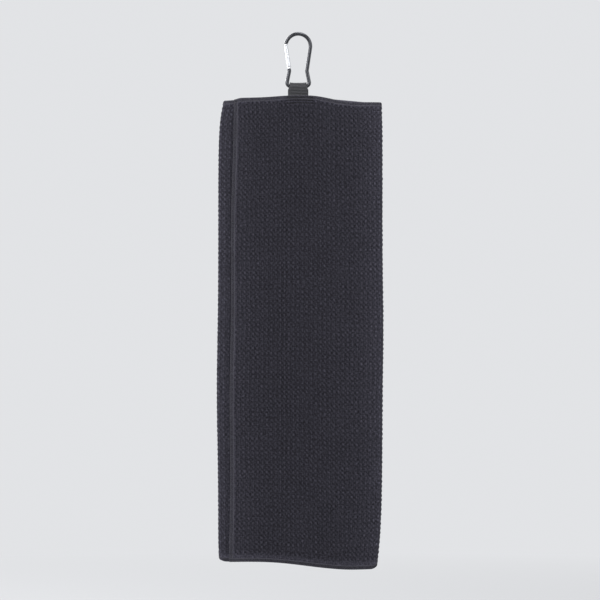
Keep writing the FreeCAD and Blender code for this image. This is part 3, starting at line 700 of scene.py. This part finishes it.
def thread_material(name, dark, light):
    """Spun polyester thread: fine slanting fibres and uneven shade."""
    graph = Graph(
        name,
        {
            "Specular IOR Level": 0.25,
            "Sheen Weight": 0.06,
            "Sheen Roughness": 0.4,
        },
    )
    rest = graph.attribute("rest", "Vector")
    fibres = graph.noise(rest, 3.2, 3.0)
    patches = graph.noise(rest, 0.09)
    twist = graph.node(
        "TexWave",
        {"Vector": rest, "Scale": 2.2, "Distortion": 3.0, "Detail": 2.0},
        "Fac",
        bands_direction="DIAGONAL",
    )
    colour = graph.mix(fibres, dark, light)
    colour = graph.lightness(colour, graph.between(patches, 0.85, 1.15, 0.3, 0.7))
    colour = graph.lightness(colour, graph.between(graph.attribute("bright", "Fac"), 1.0, 2.0))
    height = graph.math("ADD", twist, graph.math("MULTIPLY", fibres, 0.6))
    return graph.finish(colour, graph.between(fibres, 0.6, 0.85), height, 0.00008)


def webbing_material():
    """Woven polyester tape: painted shade darkens it between its ribs, with fine warp ends along it."""
    graph = Graph(
        "ribbed_webbing",
        {
            "Specular IOR Level": 0.3,
            "Sheen Weight": 0.1,
            "Sheen Roughness": 0.4,
        },
    )
    rest = graph.attribute("rest", "Vector")
    rib = graph.attribute("rib", "Fac")
    fibres = graph.noise(rest, 2.6, 3.0)
    warp = graph.node(
        "TexWave", {"Vector": rest, "Scale": 0.85, "Distortion": 0.8}, "Fac", bands_direction="X"
    )
    # Painted shade: low is the colour between the ribs, high the colour on their crests, and rib mixes
    # them.
    low = graph.mix(fibres, (0.012, 0.012, 0.0135, 1), (0.018, 0.018, 0.02, 1))
    high = graph.mix(fibres, (0.025, 0.0255, 0.0285, 1), (0.042, 0.0425, 0.047, 1))
    colour = graph.mix(rib, low, high)
    height = graph.math("ADD", warp, fibres)
    return graph.finish(colour, graph.between(fibres, 0.55, 0.8), height, 0.00009)


def metal_material(name, colour, worn, roughness, grain, coat=0.0):
    """Metal with fine grain, faint smudges and small scratches."""
    graph = Graph(name, {"Metallic": 1.0, "Coat Weight": coat, "Coat Roughness": 0.08})
    place = graph.node("TexCoord", {}, "Object")
    smudge = graph.noise(place, 160.0, 3.0)
    fine = graph.noise(place, 1400.0, 2.0)
    stretched = graph.node("Mapping", {"Vector": place, "Scale": (1.0, 1.0, 0.06)})
    scratch = graph.noise(stretched, 1900.0, 3.0)
    marks = graph.between(scratch, 0.0, 1.0, 0.6, 0.75)
    tinted = graph.mix(marks, (*colour, 1), (*worn, 1))
    tinted = graph.lightness(tinted, graph.between(smudge, 0.88, 1.1, 0.3, 0.7))
    rough = graph.between(smudge, roughness * 0.8, roughness * 1.3, 0.3, 0.7)
    height = graph.math("ADD", graph.math("MULTIPLY", scratch, 0.7), fine)
    return graph.finish(tinted, rough, height, grain)


def paint(piece, material):
    """Gives a piece one material."""
    piece.data.materials.clear()
    piece.data.materials.append(material)


cloth = cloth_material()
edge_thread = thread_material(
    "overlock_thread", (0.017, 0.0164, 0.021, 1), (0.033, 0.032, 0.04, 1)
)
sewing_thread = thread_material(
    "sewing_thread", (0.01, 0.0097, 0.012, 1), (0.024, 0.0235, 0.027, 1)
)
frame_metal = metal_material(
    "dark_anodised", (0.045, 0.0465, 0.052), (0.08, 0.08, 0.085), 0.24, 0.0000008, coat=0.2
)
gate_metal = metal_material("polished_gate", (0.5, 0.51, 0.53), (0.42, 0.42, 0.44), 0.36, 0.0000006)
steel = metal_material("plain_steel", (0.5, 0.5, 0.52), (0.35, 0.35, 0.36), 0.3, 0.000001)

for piece, material in (
    (towel, cloth),
    (flap, cloth),
    (top_thread, edge_thread),
    (bottom_thread, edge_thread),
    (inner_thread, edge_thread),
    (flap_thread, edge_thread),
    (webbing, webbing_material()),
    (tack, sewing_thread),
    (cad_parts["carabiner_frame"], frame_metal),
    (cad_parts["gate_sleeve"], gate_metal),
    (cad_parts["gate_pivot_rivet"], steel),
    (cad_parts["gate_latch_rivet"], steel),
    (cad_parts["gate_plunger"], steel),
    (coil, steel),
):
    paint(piece, material)


# ---------------------------------------------------------------- joining to the frame

for piece, node, slot in (
    (towel, "towel_cloth", "cloth"),
    (flap, "front_flap", "cloth"),
    (top_thread, "top_edge_overlock", "edge_thread"),
    (bottom_thread, "bottom_edge_overlock", "edge_thread"),
    (inner_thread, "inner_edge_overlock", "edge_thread"),
    (flap_thread, "flap_edge_overlock", "edge_thread"),
    (webbing, "webbing_loop", "webbing"),
    (tack, "tack_stitches", "sewing_thread"),
    (coil, "gate_spring", "rivet_metal"),
):
    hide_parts(node)

for piece in (towel, top_thread, bottom_thread, inner_thread, webbing, tack):
    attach(piece, "towel")
for piece in (flap, flap_thread):
    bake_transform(piece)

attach(coil, "gate")
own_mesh(coil)


# ---------------------------------------------------------------- stage, light and camera

# Places and sizes here are in metres.
CENTRE = Vector((0.0016, 0.0, -0.2302))
FLOOR_Z = -0.6
FLOOR_SIDES = 96
CAMERA_AWAY = 2.5
VIEW_WIDTH = 0.5226
PALE = (0.76, 0.77, 0.79, 1)


def floor():
    """A pale floor whose far part has the colour of the backdrop, so that it shows no edge."""
    turn = np.arange(FLOOR_SIDES) * 2 * math.pi / FLOOR_SIDES
    rings = [0.5, 1.0, 1.6, 2.4, 3.5, 6.0]
    points = [[0.0, 0.0, 0.0]]
    points += [[r / MM * math.cos(a), r / MM * math.sin(a), 0.0] for r in rings for a in turn]
    number = 1 + np.arange(len(rings) * FLOOR_SIDES).reshape(len(rings), FLOOR_SIDES)
    after = np.roll(number, -1, axis=1)
    inner = np.stack([np.zeros(FLOOR_SIDES, int), number[0], after[0]], axis=-1)
    outer = np.stack([number[:-1], number[1:], after[1:], after[:-1]], axis=-1).reshape(-1, 4)
    made = make_object("floor", np.array(points), [outer], [inner])
    made.location = (0, 0, FLOOR_Z)
    graph = Graph("pale_floor", {"Base Color": (0.36, 0.364, 0.372, 1), "Roughness": 0.75})
    place = graph.node("TexCoord", {}, "Object")
    away = graph.node("VectorMath", {0: place}, "Value", operation="LENGTH")
    share = graph.between(away, 0.0, 1.0, 0.5, 1.7)
    glow = graph.node("Emission", {"Color": PALE, "Strength": 1.0})
    joined = graph.node("MixShader", {0: share, 1: graph.shader.outputs[0], 2: glow})
    graph.tree.links.new(joined, graph.tree.nodes["Material Output"].inputs["Surface"])
    paint(made, graph.material)


def soft_light(name, place, width, height, power):
    """A rectangular studio light aimed at the towel."""
    data = bpy.data.lights.new(name, "AREA")
    data.shape = "RECTANGLE"
    data.size, data.size_y = width, height
    data.energy = power
    lamp = bpy.data.objects.new(name, data)
    lamp.location = place
    lamp.rotation_euler = (CENTRE - Vector(place)).to_track_quat("-Z", "Y").to_euler()
    bpy.context.scene.collection.objects.link(lamp)


floor()
world = bpy.data.worlds.new("pale_room")
world.use_nodes = True
world.node_tree.nodes["Background"].inputs["Color"].default_value = PALE
bpy.context.scene.world = world
bpy.context.scene.view_settings.view_transform = "Standard"

soft_light("key", (-1.2, -1.6, 0.7), 1.4, 1.4, 32)
soft_light("right_key", (1.2, -1.4, 0.6), 0.5, 0.8, 12)
soft_light("left_side", (-1.8, -0.25, -0.5), 1.4, 1.8, 36)
soft_light("right_side", (1.8, 0.0, 0.1), 1.4, 1.8, 10)
soft_light("back_key", (-0.9, 1.5, 0.7), 1.0, 1.0, 24)
soft_light("overhead", (0.2, -0.3, 1.4), 0.9, 0.9, 24)

camera_data = bpy.data.cameras.new("camera")
camera_data.sensor_width = 36
camera_data.lens = camera_data.sensor_width * CAMERA_AWAY / VIEW_WIDTH
camera = bpy.data.objects.new("camera", camera_data)
camera.location = CENTRE + Vector((0, -CAMERA_AWAY, 0))
camera.rotation_euler = (math.pi / 2, 0, 0)
bpy.context.scene.collection.objects.link(camera)
bpy.context.scene.camera = camera
